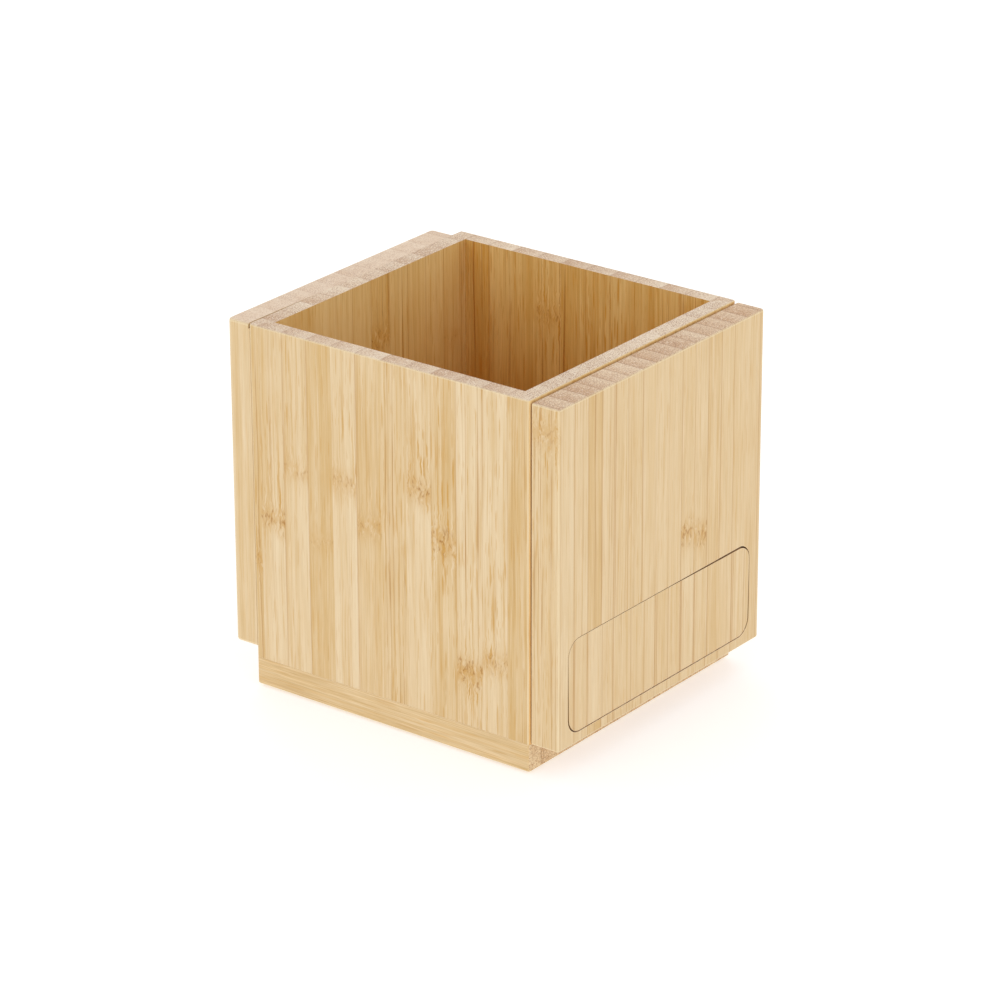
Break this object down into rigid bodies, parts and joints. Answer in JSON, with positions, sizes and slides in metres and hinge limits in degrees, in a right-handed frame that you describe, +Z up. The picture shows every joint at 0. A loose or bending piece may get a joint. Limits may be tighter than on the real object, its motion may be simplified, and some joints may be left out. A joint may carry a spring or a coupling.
{
  "type": "pen holder cup",
  "caption": "Square bamboo pen cup with a board on each side; a small ledge let into the foot of the right board folds out to stand a phone on.",
  "frame": {"origin": "centre of the footprint, on the surface the cup stands on", "axes": "+Z up, -Y out of the front wall, +X out of the right board, the side the ledge opens to"},
  "size_m": [0.1112, 0.094, 0.1068],
  "materials": {
    "bamboo_wall": "natural bamboo in upright glued strips, thin matt lacquer",
    "bamboo_board": "natural bamboo in upright glued strips, thin matt lacquer",
    "bamboo_ledge": "natural bamboo in upright glued strips, thin matt lacquer",
    "bamboo_base": "natural bamboo in level glued strips, thin matt lacquer",
    "dowel_wood": "plain hardwood, unfinished",
    "pin_steel": "plain drawn steel",
    "magnet_nickel": "bright nickel plating",
    "pad_rubber": "matt dark silicone"
  },
  "bodies": {
    "holder": {"base_plate": "bamboo_base", "front_wall": "bamboo_wall", "right_wall": "bamboo_wall", "back_wall": "bamboo_wall", "left_wall": "bamboo_wall", "left_board": "bamboo_board", "right_board": "bamboo_board", "board_dowels": "dowel_wood", "board_magnets": "magnet_nickel", "foot_pads": "pad_rubber"},
    "ledge": {"ledge_flap": "bamboo_ledge", "pivot_pins": "pin_steel", "flap_magnets": "magnet_nickel"}
  },
  "joints": [
    {"name": "ledge_hinge", "type": "hinge", "parent": "holder", "child": "ledge", "pos_m": [0.05407, -0.0003, 0.0169], "axis": [0, 1, 0], "range_deg": [0, 90]}
  ]
}
